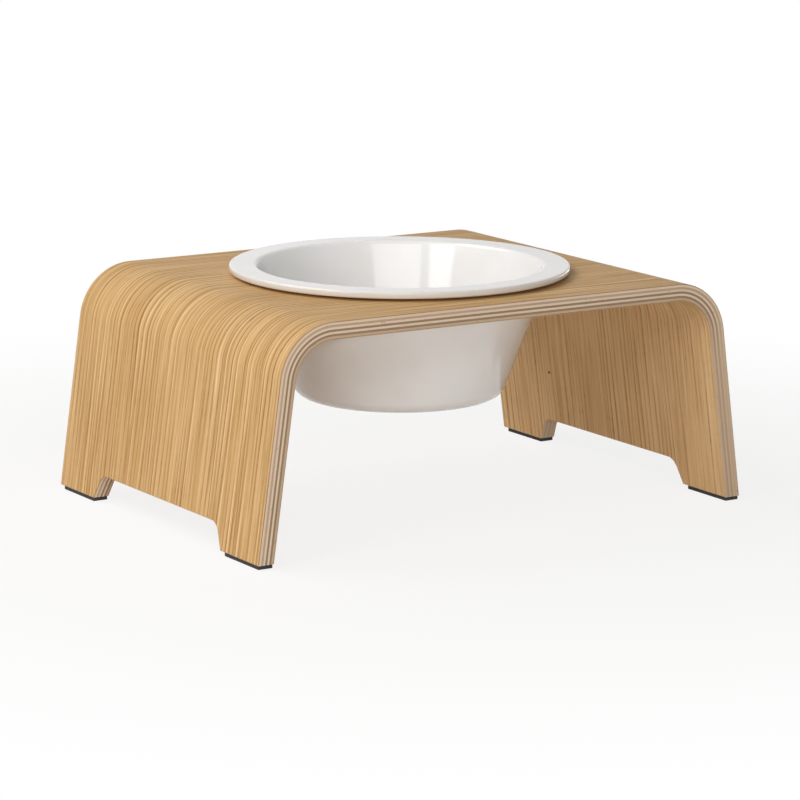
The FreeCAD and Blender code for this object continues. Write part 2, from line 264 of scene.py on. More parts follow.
def streaks(along: float, across: float, **settings: float) -> Pattern:
    """Pattern that is drawn out along a veneer's grain."""
    return Pattern((along, across, 0.0), **settings)


@dataclass(frozen=True)
class Canvas:
    """Places on a piece, in metres, that take patterns; the shift picks another part of the noise."""

    graph: NodeGraph
    place: NodeSocket
    shift: float = 0.0

    def noise(self, pattern: Pattern) -> Value:
        """Lays a pattern's noise.

        Args:
            pattern: The pattern.

        Returns:
            The noise, around one half.
        """
        offset = self.shift + pattern.shift
        moved = self.graph.node("ShaderNodeVectorMath", {"operation": "MULTIPLY_ADD"},
                                {0: self.place, 1: pattern.scale, 2: (offset, offset, offset)})
        made = self.graph.node("ShaderNodeTexNoise", {"noise_dimensions": "3D"}, {
            "Vector": moved.outputs[0], "Scale": 1.0, "Detail": pattern.detail,
            "Roughness": pattern.roughness})
        return Value(self.graph, made.outputs[0])

    def mask(self, pattern: Pattern) -> Value:
        """Lays the mask that is cut from a pattern's noise."""
        return pattern.cut(self.noise(pattern))

    def sway(self, pattern: Pattern, reach: float) -> Value:
        """Lays a pattern's noise around zero, up to half the reach to either side."""
        return (self.noise(pattern) - 0.5) * reach


@dataclass(frozen=True)
class Skin:
    """What varies over a surface: its colour, its roughness and, where it has one, its fine relief."""

    colour: Source
    roughness: Source
    relief: Value | None = None


class Finish:
    """Surface finish that becomes one material."""

    name: str
    refraction: float = 1.5
    sheen: float = 0.5
    relief_strength: float
    relief_depth: float

    def skin(self, graph: NodeGraph) -> Skin:
        """Lays what varies over the surface."""
        raise NotImplementedError

    def build(self) -> Material:
        """Makes the material.

        Returns:
            The material.
        """
        material = bpy.data.materials.new(self.name)
        graph = NodeGraph.emptied(material)
        skin = self.skin(graph)
        shader = graph.node("ShaderNodeBsdfPrincipled", inputs={
            "Base Color": skin.colour, "Roughness": skin.roughness,
            "IOR": self.refraction, "Specular IOR Level": self.sheen})
        if skin.relief is not None:
            bump = graph.node("ShaderNodeBump", inputs={
                "Strength": self.relief_strength, "Distance": self.relief_depth, "Height": skin.relief})
            graph.feed(shader.inputs["Normal"], bump.outputs[0])
        graph.node("ShaderNodeOutputMaterial", inputs={"Surface": shader.outputs[0]})
        return material


@dataclass(frozen=True)
class OakFaceFinish(Finish):
    """Oiled oak veneer with straight grain along the bent sheet."""

    name: str
    shift: float
    light: Colour = srgb(225, 186, 135)
    middle: Colour = srgb(202, 162, 107)
    line: Colour = srgb(138, 95, 40)
    hair: Colour = srgb(167, 124, 70)
    pore: Colour = srgb(112, 76, 42)
    glint: Colour = srgb(248, 219, 171)
    shade: Colour = srgb(194, 150, 94)
    knot: Colour = srgb(84, 56, 32)
    waves: tuple[tuple[Pattern, float], ...] = (
        (streaks(2.0, 7.0, detail=1.0), 12.0 * MM),
        (streaks(8.0, 48.0, detail=1.0, shift=3.0), 1.4 * MM),
        (streaks(75.0, 230.0, detail=1.0, shift=19.0), 0.4 * MM),
    )
    ring_width: float = 4.4 * MM
    ring_scatter: float = 2.9
    first_ring: float = 200.0
    spacing: Pattern = streaks(1.6, 46.0, shift=5.0)
    early_wood: tuple[Span, Span] = ((0.0, 0.14), (0.14, 0.42))
    late_wood: tuple[Span, Span] = ((0.58, 0.80), (0.86, 1.0))
    line_share: float = 0.88
    vigour: Pattern = streaks(10.0, 1.7, low=0.30, high=0.64, share=0.9, detail=4.0, shift=7.0)
    bright: Pattern = streaks(8.0, 1.7, low=0.42, high=0.72, share=0.65, detail=4.0, shift=57.0)
    thickets: Pattern = streaks(8.0, 40.0, low=0.34, high=0.60, share=0.7, shift=43.0)
    bands: Pattern = streaks(6.0, 190.0, detail=3.0, shift=9.0)
    clouds: Pattern = streaks(7.0, 30.0, low=0.45, high=0.8, share=0.4, shift=31.0)
    threads: Pattern = streaks(10.0, 380.0, low=0.50, high=0.68, share=0.6, detail=3.0, shift=23.0)
    hairs: Pattern = streaks(16.0, 950.0, low=0.52, high=0.66, share=0.4, detail=3.0, shift=13.0)
    fibres: Pattern = streaks(40.0, 3600.0, low=0.35, high=0.65, share=0.4, shift=17.0)
    pores: Pattern = streaks(150.0, 2600.0, low=0.56, high=0.62, share=0.6, detail=1.0, shift=29.0)
    stray_pore_share: float = 0.15
    knot_place: tuple[float, float] | None = None
    knot_heart: float = 0.48 * MM
    knot_radius: float = 1.6 * MM
    rough: float = 0.50
    pore_rough: float = 0.4
    ring_rough: float = 0.06
    line_sink: float = 0.5
    pore_sink: float = 2.0
    relief_strength: float = 0.2
    relief_depth: float = 0.08 * MM
    sheen: float = 0.08

    def skin(self, graph: NodeGraph) -> Skin:
        """Lays growth rings, bands, threads, pores and any pin knot.

        Args:
            graph: The material's node tree.

        Returns:
            The oak's colour, roughness and relief.
        """
        blank = Canvas(graph, graph.attribute(BLANK_PLACE), self.shift)
        along, across, deep = graph.parts(blank.place)
        wavy = across
        for pattern, reach in self.waves:
            wavy = wavy + blank.sway(pattern, reach)
        lane = Canvas(graph, graph.vector(along, wavy, deep), self.shift)
        growth = wavy / self.ring_width + lane.sway(self.spacing, self.ring_scatter) + self.first_ring
        ring = growth.math("FLOOR")
        year = growth - ring
        rings = Canvas(graph, graph.vector(along, ring, 0.0), self.shift)
        strength = rings.mask(self.vigour) + (1 - self.vigour.share)
        strength = strength * (lane.mask(self.thickets) + (1 - self.thickets.share))
        early = year.rise_and_fall(*self.early_wood) * strength
        late = year.rise_and_fall(*self.late_wood) * rings.mask(self.bright)
        fibre = lane.mask(self.fibres)
        pore = lane.mask(self.pores) * (early * (1 - self.stray_pore_share) + self.stray_pore_share)
        layers = [
            (lane.mask(self.bands), self.light),
            (lane.mask(self.clouds), self.shade),
            (fibre, self.middle),
            (late, self.glint),
            (lane.mask(self.threads), self.hair),
            (lane.mask(self.hairs), self.hair),
            (early * self.line_share, self.line),
            (pore, self.pore),
        ]
        if self.knot_place is not None:
            past = along - self.knot_place[0]
            beside = across - self.knot_place[1]
            away = (past * past + beside * beside).math("SQRT")
            layers.append((1 - away.smooth_step(self.knot_heart, self.knot_radius), self.knot))
        roughness = self.rough + pore * self.pore_rough + (early - late) * self.ring_rough
        relief = fibre - early * self.line_sink - pore * self.pore_sink
        return Skin(graph.layered(self.middle, layers), roughness, relief)


class Grain(Enum):
    """Direction of the grain in the flat blank, with the record's slot for a core ply that has it."""

    LONG = "long_grain_ply"
    CROSS = "cross_grain_ply"


# Waves per metre along the blank, across it and through it, by the direction of the grain.
FIBRE_SCALES = {Grain.LONG: (28.0, 1500.0, 1500.0), Grain.CROSS: (1500.0, 28.0, 1500.0)}
FLECK_SCALES = {Grain.LONG: (260.0, 900.0, 900.0), Grain.CROSS: (900.0, 60.0, 900.0)}
PLY_FIBRES = {grain: Pattern(scale, low=0.35, high=0.75, share=0.55, detail=3.0, roughness=0.6, shift=5.0)
              for grain, scale in FIBRE_SCALES.items()}
PLY_FLECKS = {grain: Pattern(scale, low=0.72, high=0.80, detail=1.0, shift=13.0)
              for grain, scale in FLECK_SCALES.items()}


@dataclass(frozen=True)
class PlyTone:
    """Colours of a ply's cut edge: its ground, its fibres, and what both fade to at the right foot."""

    ground: Colour
    fibre: Colour
    faded: Colour


PALE_END = srgb(208, 181, 152)
DARK_END = srgb(193, 165, 136)
OAK_PLY = PlyTone(srgb(178, 145, 112), srgb(148, 116, 84), PALE_END)
PALE_PLY = PlyTone(srgb(227, 204, 179), srgb(212, 185, 157), PALE_END)
MID_PLY = PlyTone(srgb(192, 166, 140), srgb(170, 144, 119), PALE_END)
DEEP_PLY = PlyTone(srgb(156, 131, 105), srgb(136, 112, 87), DARK_END)
WARM_PLY = PlyTone(srgb(198, 172, 142), srgb(182, 156, 126), PALE_END)


@dataclass(frozen=True)
class PlyEdgeFinish(Finish):
    """Sanded cut edge of one ply."""

    name: str
    grain: Grain
    shift: float
    tone: PlyTone
    fleck: Colour = srgb(120, 94, 70)
    fleck_share: float = 0.6
    clouds: Pattern = Pattern((22.0, 22.0, 300.0), low=0.45, high=0.8, share=0.4)
    fade: Span = (158.0 * MM, 206.0 * MM)
    fade_share: float = 0.85
    rough: float = 0.62
    fibre_rough: float = 0.15
    relief_strength: float = 0.35
    relief_depth: float = 0.07 * MM
    sheen: float = 0.25

    def skin(self, graph: NodeGraph) -> Skin:
        """Lays fibres, clouds, the fade towards the right foot and flecks.

        Args:
            graph: The material's node tree.

        Returns:
            The edge's colour, roughness and relief.
        """
        blank = Canvas(graph, graph.attribute(BLANK_PLACE), self.shift)
        fibres = PLY_FIBRES[self.grain]
        fibre = blank.noise(fibres)
        fleck = blank.mask(PLY_FLECKS[self.grain])
        fade = graph.parts(blank.place)[0].smooth_step(*self.fade)
        tone = graph.layered(self.tone.ground, [
            (fibres.cut(fibre), self.tone.fibre),
            (blank.mask(self.clouds), self.tone.fibre),
            (fade * self.fade_share, self.tone.faded),
            (fleck * self.fleck_share, self.fleck),
        ])
        return Skin(tone, self.rough + fibre * self.fibre_rough, fibre - fleck)


@dataclass(frozen=True)
class GlazeFinish(Finish):
    """White gloss glaze with painted shade, warmed as a painted reflection of the wood, on the rim's outer
    edge, and a bare standing ring under the base.
    """

    name: str
    base_level: float
    rim_radius: float
    glaze: Colour = srgb(244, 242, 239)
    thin_glaze: Colour = srgb(240, 237, 233)
    # Painted shade on the rim's outer edge, warmed as a painted reflection of the wooden top.
    rim_edge_painted_shade: Colour = srgb(224, 217, 209)
    biscuit: Colour = srgb(214, 207, 196)
    edge_start: float = 1.4 * MM
    edge_end: float = 0.1 * MM
    bare_height: Span = (0.15 * MM, 0.5 * MM)
    pools: Pattern = even(26.0, low=0.4, high=0.75)
    specks: Pattern = even(1100.0, low=0.76, high=0.82, share=0.12, detail=1.0, shift=9.0)
    peel: Pattern = even(150.0, detail=1.0, shift=4.0)
    peel_share: float = 0.25
    grit: Pattern = even(2600.0, detail=1.0, shift=2.0)
    rough: float = 0.07
    pool_rough: float = 0.05
    bare_rough: float = 0.55
    relief_strength: float = 0.12
    relief_depth: float = 0.1 * MM
    refraction: float = 1.52

    def skin(self, graph: NodeGraph) -> Skin:
        """Lays pooled glaze, painted shade on the rim's outer edge, specks and the bare ring.

        Args:
            graph: The material's node tree.

        Returns:
            The glaze's colour, roughness and relief.
        """
        bowl = Canvas(graph, graph.object_place())
        across, along, level = graph.parts(bowl.place)
        radius = (across * across + along * along).math("SQRT")
        # Painted shade and painted warm reflection on the rim's outer edge.
        edge = radius.smooth_step(self.rim_radius - self.edge_start, self.rim_radius - self.edge_end)
        bare = 1 - (level - self.base_level).smooth_step(*self.bare_height)
        pool = bowl.noise(self.pools)
        tone = graph.layered(self.glaze, [
            (self.pools.cut(pool), self.thin_glaze),
            (edge, self.rim_edge_painted_shade),
            (bowl.mask(self.specks), self.biscuit),
            (bare, self.biscuit),
        ])
        roughness = self.rough + pool * self.pool_rough + bare * self.bare_rough
        return Skin(tone, roughness, bowl.noise(self.peel) * self.peel_share + bowl.noise(self.grit) * bare)


@dataclass(frozen=True)
class SpottedFinish(Finish):
    """Plain surface with a second colour in soft spots, and grit that may stand out as relief."""

    name: str
    ground: Colour
    spot: Colour
    spots: Pattern
    grit: Pattern
    rough: float
    grit_rough: float
    sheen: float = 0.5
    relief_strength: float = 0.0
    relief_depth: float = 0.0

    def skin(self, graph: NodeGraph) -> Skin:
        """Lays spots and grit.

        Args:
            graph: The material's node tree.

        Returns:
            The surface's colour and roughness, and its relief where it has any.
        """
        piece = Canvas(graph, graph.object_place())
        grit = piece.noise(self.grit)
        tone = graph.layered(self.ground, [(piece.mask(self.spots), self.spot)])
        return Skin(tone, self.rough + grit * self.grit_rough, grit if self.relief_strength else None)


FILM_BLOTCHES = even(500.0, low=0.4, high=0.7)
ADHESIVE_FILM = SpottedFinish("adhesive_film", srgb(150, 145, 134), srgb(176, 168, 150), FILM_BLOTCHES,
                              FILM_BLOTCHES, rough=0.35, grit_rough=0.3)
CHARCOAL_RUBBER = SpottedFinish(
    "charcoal_rubber", srgb(58, 56, 56), srgb(84, 81, 79),
    even(240.0, low=0.5, high=0.8, detail=3.0, roughness=0.6), even(3000.0, shift=5.0),
    rough=0.72, grit_rough=0.2, sheen=0.3, relief_strength=0.5, relief_depth=0.06 * MM)


class GeometryTree:
    """Geometry node tree that turns one object into a finished plain mesh."""

    def __init__(self, name: str) -> None:
        """Makes the tree with its geometry input and output.

        Args:
            name: The tree's name.
        """
        self.tree = bpy.data.node_groups.new(name, "GeometryNodeTree")
        self.graph = NodeGraph(self.tree)
        self.sockets: dict[str, str] = {}
        self.tree.interface.new_socket("Geometry", in_out="INPUT", socket_type="NodeSocketGeometry")
        self.tree.interface.new_socket("Geometry", in_out="OUTPUT", socket_type="NodeSocketGeometry")
        self.start = self.graph.node("NodeGroupInput")

    def add_input(self, name: str, kind: str) -> NodeSocket:
        """Adds a named input.

        Args:
            name: What the input is called.
            kind: The end of Blender's socket type, such as Float.

        Returns:
            The socket that carries the input inside the tree.
        """
        item = self.tree.interface.new_socket(name, in_out="INPUT", socket_type=f"NodeSocket{kind}")
        self.sockets[name] = item.identifier
        return self.start.outputs[name]

    def number(self, name: str) -> Value:
        """Adds a named number input."""
        return Value(self.graph, self.add_input(name, "Float"))

    def moved(self, geometry: NodeSocket, position: NodeSocket) -> NodeSocket:
        """Moves the points of a geometry."""
        inputs = {"Geometry": geometry, "Position": position}
        return self.graph.node("GeometryNodeSetPosition", inputs=inputs).outputs[0]

    def end(self, geometry: NodeSocket, materials: Sequence[tuple[NodeSocket, Source]]) -> None:
        """Closes the tree with real geometry and its materials.

        Args:
            geometry: The finished shape.
            materials: Material sockets, each with the faces that it goes on.
        """
        geometry = self.graph.node("GeometryNodeRealizeInstances", inputs={"Geometry": geometry}).outputs[0]
        for material, faces in materials:
            inputs = {"Geometry": geometry, "Selection": faces, "Material": material}
            geometry = self.graph.node("GeometryNodeSetMaterial", inputs=inputs).outputs[0]
        self.graph.node("NodeGroupOutput", inputs={0: geometry})

    def apply(self, piece: Object, settings: dict[str, Any]) -> None:
        """Runs the tree on an object and keeps the result as its plain mesh.

        Args:
            piece: The object.
            settings: Values of the named inputs.
        """
        modifier = piece.modifiers.new(self.tree.name, "NODES")
        modifier.node_group = self.tree
        for name, setting in settings.items():
            modifier[self.sockets[name]] = setting
        depsgraph = bpy.context.evaluated_depsgraph_get()
        evaluated = piece.evaluated_get(depsgraph)
        made = bpy.data.meshes.new_from_object(evaluated, preserve_all_data_layers=True, depsgraph=depsgraph)
        piece.modifiers.clear()
        flat = piece.data
        piece.data = made
        made.name = piece.name
        bpy.data.meshes.remove(flat)


class PressMould(GeometryTree):
    """Bends a flat blank over the stand's mould: flat top, round bends, straight splayed legs."""

    def __init__(self) -> None:
        """Builds the tree."""
        super().__init__("press_over_mould")
        graph = self.graph
        top_half = self.number("Top Half Length")
        radius = self.number("Bend Radius")
        bend_angle = self.number("Bend Angle")
        centre_height = self.number("Bend Centre Height")
        face = self.add_input("Face Material", "Material")
        edge = self.add_input("Edge Material", "Material")
        position = graph.node("GeometryNodeInputPosition").outputs[0]
        keep = {"Geometry": self.start.outputs["Geometry"], "Name": BLANK_PLACE, "Value": position}
        stored = graph.node("GeometryNodeStoreNamedAttribute", POINT_VECTORS, keep)
        along, across, lift = graph.parts(position)
        reach = along.math("ABSOLUTE")
        beyond = (reach - top_half).math("MAXIMUM", 0.0)
        angle = (beyond / radius).math("MINIMUM", bend_angle)
        leg = beyond - angle * radius
        sine = angle.math("SINE")
        cosine = angle.math("COSINE")
        layer_radius = radius + lift
        outward = reach.math("MINIMUM", top_half) + layer_radius * sine + leg * cosine
        x = outward * along.math("SIGN")
        z = centre_height + layer_radius * cosine - leg * sine
        bent = self.moved(stored.outputs[0], graph.vector(x, across, z))
        cut = graph.node("GeometryNodeInputNamedAttribute", {"data_type": "BOOLEAN"}, {"Name": CUT_EDGE})
        self.end(bent, [(face, True), (edge, cut.outputs[0])])


class PottersWheel(GeometryTree):
    """Turns a profile about the Z axis into a closed shell."""

    def __init__(self) -> None:
        """Builds the tree."""
        super().__init__("turn_on_wheel")
        graph = self.graph
        segments = Value(graph, self.add_input("Segments", "Int"))
        weld = self.add_input("Weld Distance", "Float")
        glaze = self.add_input("Material", "Material")
        profile = self.start.outputs["Geometry"]
        rows = graph.node("GeometryNodeAttributeDomainSize", {"component": "MESH"}, {0: profile}).outputs[0]
        columns = segments + 1
        grid = graph.node("GeometryNodeMeshGrid", inputs={"Vertices X": rows, "Vertices Y": columns})
        index = Value(graph, graph.node("GeometryNodeInputIndex").outputs[0])
        row = (index / columns).math("FLOOR")
        turn = (index - row * columns) / segments * tau
        position = graph.node("GeometryNodeInputPosition").outputs[0]
        sample = graph.node("GeometryNodeSampleIndex", POINT_VECTORS,
                            {"Geometry": profile, "Value": position, "Index": row})
        radius, _, height = graph.parts(sample.outputs[0])
        turned = graph.vector(radius * turn.math("COSINE"), radius * turn.math("SINE"), height)
        shell = self.moved(grid.outputs["Mesh"], turned)
        closed = graph.node("GeometryNodeMergeByDistance", inputs={"Geometry": shell, "Distance": weld})
        self.end(closed.outputs[0], [(glaze, True)])


def smooth_but_crisp(mesh: Mesh, angle: float) -> None:
    """Shades a mesh smooth, with sharp edges where faces meet at more than an angle in radians."""
    mesh.shade_smooth()
    mesh.set_sharp_from_angle(angle=angle)


def new_object(name: str, data: bpy.types.ID) -> Object:
    """Puts a mesh, a lamp or a camera into the scene.

    Args:
        name: The object's name.
        data: The mesh, the lamp or the camera.

    Returns:
        The object, at the origin.
    """
    made = bpy.data.objects.new(name, data)
    bpy.context.scene.collection.objects.link(made)
    return made


def arc(x: float, y: float, radius: float, start: float, end: float, steps: int) -> Path:
    """Points on a circle about a centre, from one angle to another, both ends included."""
    turns = [start + (end - start) * step / steps for step in range(steps + 1)]
    return [(x + radius * cos(turn), y + radius * sin(turn)) for turn in turns]


def neighbours(start: int, size: int) -> list[tuple[int, int]]:
    """Neighbours round a closed loop of points, in the points' numbers."""
    return [(start + i, start + (i + 1) % size) for i in range(size)]


def stack_mesh(name: str, levels: Sequence[Sequence[Loop]], faces: Sequence[Sequence[int]]) -> Mesh:
    """Joins outlines that lie over each other into a closed solid.

    Args:
        name: The mesh's name.
        levels: From the top down, the loops of each level; outer loops turn left and holes turn right.
        faces: Faces of the top level, in the numbers of its points.

    Returns:
        The mesh, with its side walls marked as cut edges.
    """
    points = [point for level in levels for loop in level for point in loop]
    count = sum(len(loop) for loop in levels[0])
    last = count * (len(levels) - 1)
    made = [list(face) for face in faces]
    made += [[last + index for index in reversed(face)] for face in faces]
    flats = len(made)
    for level in range(len(levels) - 1):
        start = level * count
        for loop in levels[level]:
            made += [[a, a + count, b + count, b] for a, b in neighbours(start, len(loop))]
            start += len(loop)
    mesh = bpy.data.meshes.new(name)
    mesh.from_pydata(points, [], made)
    marks = mesh.attributes.new(CUT_EDGE, "BOOLEAN", "FACE")
    marks.data.foreach_set("value", [index >= flats for index in range(len(made))])
    mesh.update()
    return mesh


@dataclass(frozen=True)
class Level:
    """One outline of a piece: its depth below the outer face, and how far it is set in from the side."""

    depth: float
    inset: float


def quarter_round(radius: float, steps: int) -> list[Level]:
    """Outlines of a rounded arris, from the face inwards, with the quarter circle cut into steps."""
    turns = [QUARTER_TURN * step / steps for step in range(steps + 1)]
    return [Level(radius * (1 - cos(turn)), radius * (1 - sin(turn))) for turn in turns]


@dataclass
class Stand:
    """Moulded plywood stand: two oak face veneers and seven core plies, bent as one sheet."""

    body: str = "stand"
    bend_radius: float = 37.5 * MM
    top_half_length: float = 128.0 * MM
    splay: float = radians(8.0)
    face_veneer: float = 0.6 * MM
    core_ply: float = 1.4 * MM
    notch_half_gap: float = 82.5 * MM
    notch_height: float = 16.0 * MM
    notch_lean: float = radians(27.5)
    notch_radius: float = 10.0 * MM
    hole_radius: float = 97.5 * MM
    hole_chamfer: float = 1.0 * MM
    arris: float = 0.35 * MM
    arris_steps: int = 4
    seam_depth: float = 0.03 * MM
    seam_width: float = 0.09 * MM
    bend_steps: int = 44
    corner_steps: int = 16
    hole_steps: int = 168
    guard: float = 0.4 * MM
    crisp_angle: float = radians(5.0)
    oak_slot: str = "oak_veneer"
    outer_oak: OakFaceFinish = OakFaceFinish("oiled_oak_outside", shift=0.0)
    # The inner face veneer is the same oak in lighter colours: painted light under the arch, where the lamps
    # leave it too dark.
    inner_oak_painted_light: OakFaceFinish = OakFaceFinish(
        "oiled_oak_inside_painted_light", shift=40.0, light=srgb(239, 202, 153), middle=srgb(229, 189, 138),
        hair=srgb(190, 147, 96), line_share=0.6, knot_place=(241.7 * MM, 63.4 * MM))
    oak_edge: PlyEdgeFinish = PlyEdgeFinish("oak_veneer_edge", Grain.LONG, shift=71.0, tone=OAK_PLY)
    core_tones: tuple[PlyTone, ...] = (PALE_PLY, MID_PLY, PALE_PLY, DEEP_PLY, PALE_PLY, DEEP_PLY, WARM_PLY)
    ply_shift: float = 5.0
    bottom: float = field(init=False)
    bend_centre: float = field(init=False)
    half_depth: float = field(init=False)
    bend_angle: float = field(init=False)
    bend_length: float = field(init=False)
    sheet: float = field(init=False)
    mould: PressMould = field(init=False)

    def __post_init__(self) -> None:
        """Takes the levels and the depth from the frame, and works out the bend and the sheet."""
        low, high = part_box("outer_face_veneer")
        self.bottom = low.z
        self.bend_centre = high.z - self.bend_radius
        self.half_depth = high.y
        self.bend_angle = QUARTER_TURN - self.splay
        self.bend_length = self.bend_radius * self.bend_angle
        self.sheet = 2 * self.face_veneer + len(self.core_tones) * self.core_ply
        self.mould = PressMould()

    def reach(self, height: float, depth: float) -> float:
        """Length from the blank's middle to where a leg, at a depth under its outer face, is at a height."""
        bend_end = self.bend_centre + (self.bend_radius - depth) * cos(self.bend_angle)
        return self.top_half_length + self.bend_length + (bend_end - height) / sin(self.bend_angle)

    def notch(self, level: Level) -> Path:
        """Outline of the cut between the two feet of a leg, from front to back.

        Args:
            level: The outline's depth and inset.

        Returns:
            Points across the leg, each with its height.
        """
        roof = self.bottom + self.notch_height
        corner = self.notch_half_gap - self.notch_height * tan(self.notch_lean)
        centre_across = corner - self.notch_radius * tan((QUARTER_TURN - self.notch_lean) / 2)
        centre_height = roof - self.notch_radius
        radius = self.notch_radius + level.inset
        half = arc(centre_across, centre_height, radius, QUARTER_TURN, self.notch_lean, self.corner_steps)
        side_across, side_height = half[-1]
        foot = self.bottom + level.inset
        half.append((side_across + (side_height - foot) * tan(self.notch_lean), foot))
        return [(-across, height) for across, height in reversed(half)] + half

    def stations(self, level: Level) -> list[float]:
        """Places along the blank where its front and back edges have a point.

        Args:
            level: The outline's depth and inset.

        Returns:
            Lengths from the left foot to the right, with a guard point on the straight beside each bend.
        """
        half = [self.top_half_length - self.guard]
        half += [self.top_half_length + self.bend_length * step / self.bend_steps
                 for step in range(self.bend_steps + 1)]
        half.append(self.top_half_length + self.bend_length + self.guard)
        half.append(self.reach(self.bottom + level.inset, level.depth))
        return [-place for place in reversed(half)] + half

    def loops(self, level: Level) -> list[Loop]:
        """Outer outline and hole of the flat blank at one level.

        Args:
            level: The outline's depth and inset.

        Returns:
            The outer loop, turning left, and the hole, turning right.
        """
        side = self.half_depth - level.inset
        places = self.stations(level)
        foot = [(self.reach(height, level.depth), across) for across, height in self.notch(level)]
        outer = [(place, -side) for place in places]
        outer += foot
        outer += [(place, side) for place in reversed(places)]
        outer += [(-place, across) for place, across in reversed(foot)]
        radius = self.hole_radius + max(self.hole_chamfer - level.depth, 0.0) + level.inset
        hole = arc(0.0, 0.0, radius, 0.0, -tau, self.hole_steps)[:-1]
        return [[Vector((x, y, -level.depth)) for x, y in loop] for loop in (outer, hole)]

    def flat_faces(self, level: Level) -> list[list[int]]:
        """Faces that fill the blank's outline, cut at every station.

        Args:
            level: The outline's depth and inset.

        Returns:
            Faces, in the numbers of the outline's points.
        """
        outer, hole = self.loops(level)
        count = len(self.stations(level))
        back_start = count + len(self.notch(level))
        edges = neighbours(0, len(outer)) + neighbours(len(outer), len(hole))
        edges += [(i, back_start + count - 1 - i) for i in range(1, count - 1)]
        points = [point.xy for point in outer + hole]
        _, _, fill, sources, _, _ = delaunay_2d_cdt(points, edges, [], FILL_ENCLOSED, FILL_WELD)
        faces = [[sources[index][0] for index in face] for face in fill]
        # A face without a point of the outer loop lies in the hole.
        return [face for face in faces if min(face) < len(outer)]

    def layer(self, name: str, levels: Sequence[Level], face: Material, edge: Material) -> Object:
        """Makes one layer: cuts its blank, presses it over the mould and dresses it.

        Args:
            name: The layer's node.
            levels: Its outlines from the outer face inwards.
            face: Material of its faces.
            edge: Material of its cut edges.

        Returns:
            The finished piece.
        """
        mesh = stack_mesh(name, [self.loops(level) for level in levels], self.flat_faces(levels[0]))
        piece = new_object(f"{name}_dressed", mesh)
        self.mould.apply(piece, {
            "Top Half Length": self.top_half_length,
            "Bend Radius": self.bend_radius,
            "Bend Angle": self.bend_angle,
            "Bend Centre Height": self.bend_centre,
            "Face Material": face,
            "Edge Material": edge,
        })
        smooth_but_crisp(piece.data, self.crisp_angle)
        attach(piece, self.body)
        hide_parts(name)
        return piece

    def build(self) -> list[Object]:
        """Makes the nine layers.

        Returns:
            The pieces, from the outer face inwards.
        """
        rise = quarter_round(self.arris, self.arris_steps)
        outer = [*rise, Level(self.face_veneer, 0.0)]
        fall = [Level(self.sheet - level.depth, level.inset) for level in reversed(rise)]
        inner = [Level(self.sheet - self.face_veneer, 0.0), *fall]
        oak_edge = self.oak_edge.build()
        pieces = [self.layer("outer_face_veneer", outer, self.outer_oak.build(), oak_edge)]
        for number, tone in enumerate(self.core_tones):
            top = self.face_veneer + number * self.core_ply
            low = top + self.core_ply
            grain = Grain.CROSS if number % 2 else Grain.LONG
            edge = PlyEdgeFinish(f"core_ply_edge_{number + 1}", grain, self.ply_shift * number, tone).build()
            levels = [Level(top, self.seam_depth), Level(top + self.seam_width, 0.0)]
            if top < self.hole_chamfer < low:
                levels.append(Level(self.hole_chamfer, 0.0))
            levels += [Level(low - self.seam_width, 0.0), Level(low, self.seam_depth)]
            pieces.append(self.layer(f"core_ply_{number + 1}", levels, edge, edge))
        pieces.append(self.layer("inner_face_veneer", inner, self.inner_oak_painted_light.build(), oak_edge))
        return pieces


